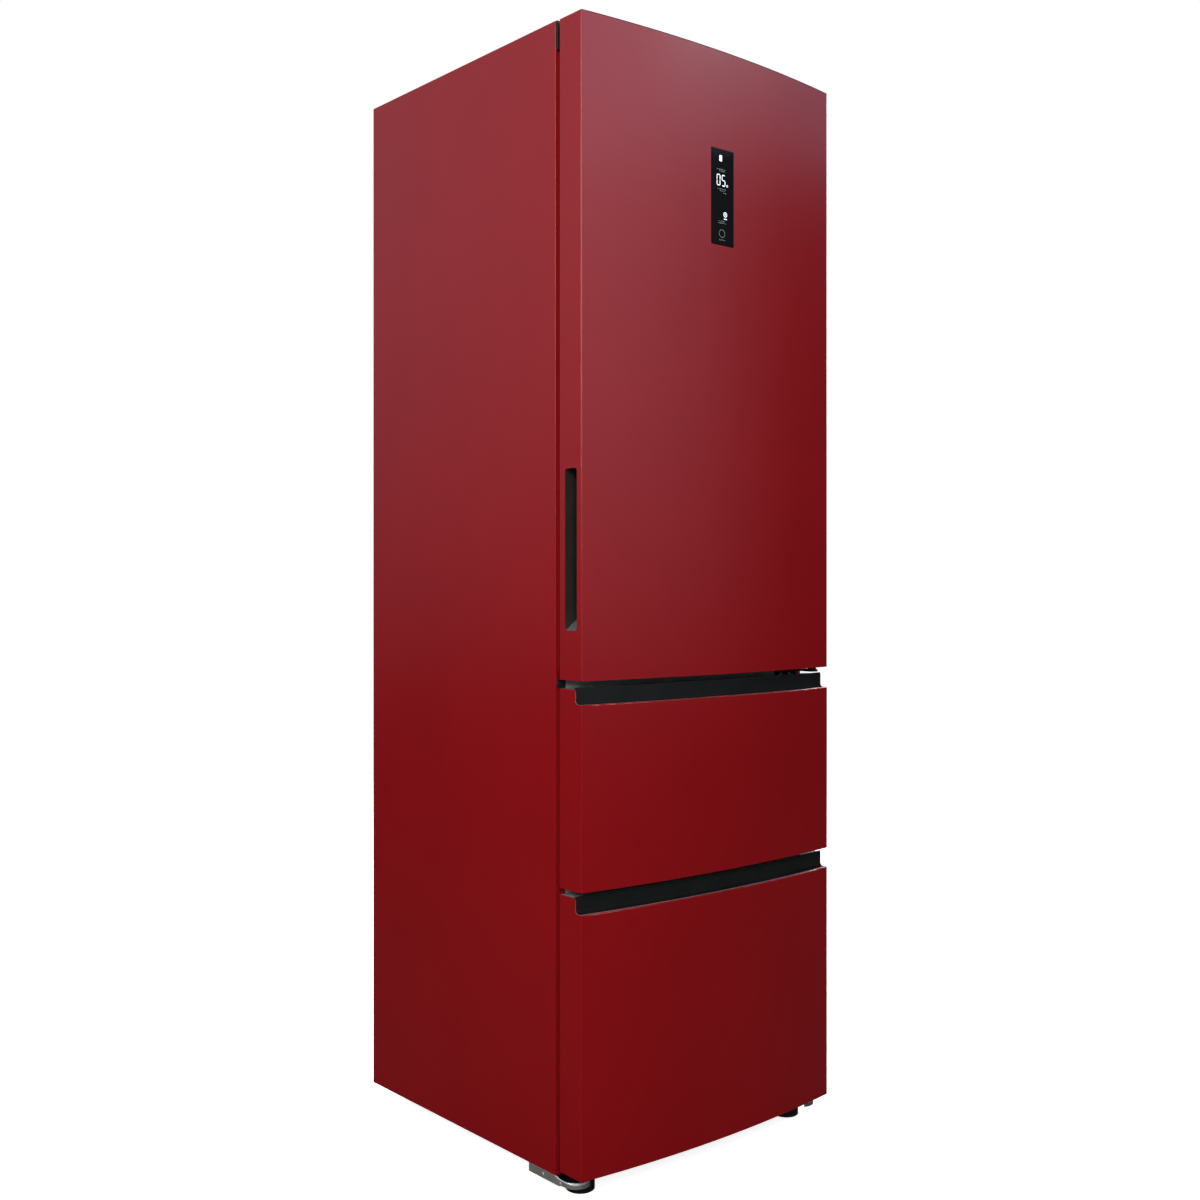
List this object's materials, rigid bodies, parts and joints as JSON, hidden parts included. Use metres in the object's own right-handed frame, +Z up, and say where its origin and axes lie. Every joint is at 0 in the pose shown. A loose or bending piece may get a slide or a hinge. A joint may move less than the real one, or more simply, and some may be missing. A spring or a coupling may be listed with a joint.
{
  "type": "fridge freezer",
  "caption": "Tall free-standing fridge freezer with a bowed, side-gripped fridge door over full-width freezer drawers with recessed top grips.",
  "frame": {"origin": "on the floor, under the middle of the whole part's box", "axes": "+Z up, +Y to the back, +X to the right seen from the front; the doors face -Y"},
  "size_m": [0.595, 0.6464, 1.911],
  "materials": {
    "red_paint": "satin",
    "light_grey_paint": "satin",
    "galvanised_sheet": "satin",
    "zinc_plated_steel": "satin",
    "black_coated_steel": "satin",
    "black_moulding": "satin",
    "display_glass": "gloss",
    "white_plastic": "satin",
    "lamp_lens": "satin",
    "clear_plastic": "gloss",
    "shelf_glass": "gloss",
    "grey_seal": "matte",
    "black_rubber": "matte",
    "insulating_foam": "matte",
    "grey_nylon": "satin",
    "aluminium_fins": "satin"
  },
  "bodies": {
    "cabinet": {"left_side_panel": "red_paint", "right_side_panel": "red_paint", "top_panel": "red_paint", "front_rails": "light_grey_paint", "back_panel": "galvanised_sheet", "base_pan": "galvanised_sheet", "bay_cover": "galvanised_sheet", "foot_brackets": "zinc_plated_steel", "roller_brackets": "zinc_plated_steel", "slide_channels": "zinc_plated_steel", "upper_hinge": "black_coated_steel", "middle_hinge": "black_coated_steel", "compressor": "black_coated_steel", "top_trim": "black_moulding", "hinge_cover": "black_moulding", "fridge_liner": "white_plastic", "freezer_liner": "white_plastic", "drawer_crossbar": "white_plastic", "air_duct": "white_plastic", "evaporator_cover": "white_plastic", "shelf_trims": "white_plastic", "drain_pan": "white_plastic", "ceiling_light": "lamp_lens", "glass_shelves": "shelf_glass", "crisper_cover": "shelf_glass", "compressor_grommets": "black_rubber", "cord_gland": "black_rubber", "cabinet_foam": "insulating_foam", "fan_motor": "grey_nylon", "evaporator": "aluminium_fins"},
    "fridge_door": {"door_skin": "red_paint", "door_foam": "insulating_foam", "door_liner": "white_plastic", "door_caps": "black_moulding", "door_hinge_bushes": "grey_nylon", "door_gasket": "grey_seal", "door_side_grip": "black_moulding", "display_panel": "display_glass", "bottle_balcony": "clear_plastic", "door_balconies": "clear_plastic"},
    "upper_drawer": {"upper_drawer_skin": "red_paint", "upper_drawer_grip": "black_moulding", "upper_drawer_panel": "white_plastic", "upper_drawer_gasket": "grey_seal", "upper_drawer_rails": "zinc_plated_steel", "upper_drawer_basket": "clear_plastic"},
    "lower_drawer": {"lower_drawer_skin": "red_paint", "lower_drawer_grip": "black_moulding", "lower_drawer_panel": "white_plastic", "lower_drawer_gasket": "grey_seal", "lower_drawer_rails": "zinc_plated_steel", "lower_drawer_basket": "clear_plastic"},
    "upper_slides": {"upper_drawer_slides": "zinc_plated_steel"},
    "lower_slides": {"lower_drawer_slides": "zinc_plated_steel"},
    "crisper": {"crisper_drawer": "clear_plastic"},
    "left_foot": {"left_front_foot": "black_moulding"},
    "right_foot": {"right_front_foot": "black_moulding"},
    "left_roller": {"left_rear_roller": "grey_nylon"},
    "right_roller": {"right_rear_roller": "grey_nylon"},
    "fan": {"evaporator_fan": "grey_nylon"}
  },
  "joints": [
    {"name": "fridge_door_hinge", "type": "hinge", "parent": "cabinet", "child": "fridge_door", "pos_m": [0.2795, -0.2808, 0.837], "axis": [0, 0, 1], "range_deg": [0, 120]},
    {"name": "upper_drawer_slide", "type": "slide", "parent": "cabinet", "child": "upper_drawer", "axis": [0, -1, 0], "range_m": [0, 0.36]},
    {"name": "lower_drawer_slide", "type": "slide", "parent": "cabinet", "child": "lower_drawer", "axis": [0, -1, 0], "range_m": [0, 0.36]},
    {"name": "upper_middle_slide", "type": "slide", "parent": "cabinet", "child": "upper_slides", "axis": [0, -1, 0], "range_m": [0, 0.18]},
    {"name": "lower_middle_slide", "type": "slide", "parent": "cabinet", "child": "lower_slides", "axis": [0, -1, 0], "range_m": [0, 0.18]},
    {"name": "crisper_slide", "type": "slide", "parent": "cabinet", "child": "crisper", "axis": [0, -1, 0], "range_m": [0, 0.045]},
    {"name": "left_foot_screw", "type": "hinge", "parent": "cabinet", "child": "left_foot", "pos_m": [-0.2495, -0.2418, 0], "axis": [0, 0, 1], "continuous": true},
    {"name": "right_foot_screw", "type": "hinge", "parent": "cabinet", "child": "right_foot", "pos_m": [0.2495, -0.2418, 0], "axis": [0, 0, 1], "continuous": true},
    {"name": "left_roller_spin", "type": "hinge", "parent": "cabinet", "child": "left_roller", "pos_m": [-0.2275, 0.2782, 0.015], "axis": [1, 0, 0], "continuous": true},
    {"name": "right_roller_spin", "type": "hinge", "parent": "cabinet", "child": "right_roller", "pos_m": [0.2275, 0.2782, 0.015], "axis": [1, 0, 0], "continuous": true},
    {"name": "fan_spin", "type": "hinge", "parent": "cabinet", "child": "fan", "pos_m": [0, 0.2242, 0.705], "axis": [0, 1, 0], "continuous": true}
  ],
  "couplings": [
    {"joint": "upper_middle_slide", "follows": "upper_drawer_slide", "ratio": 0.5},
    {"joint": "lower_middle_slide", "follows": "lower_drawer_slide", "ratio": 0.5}
  ]
}
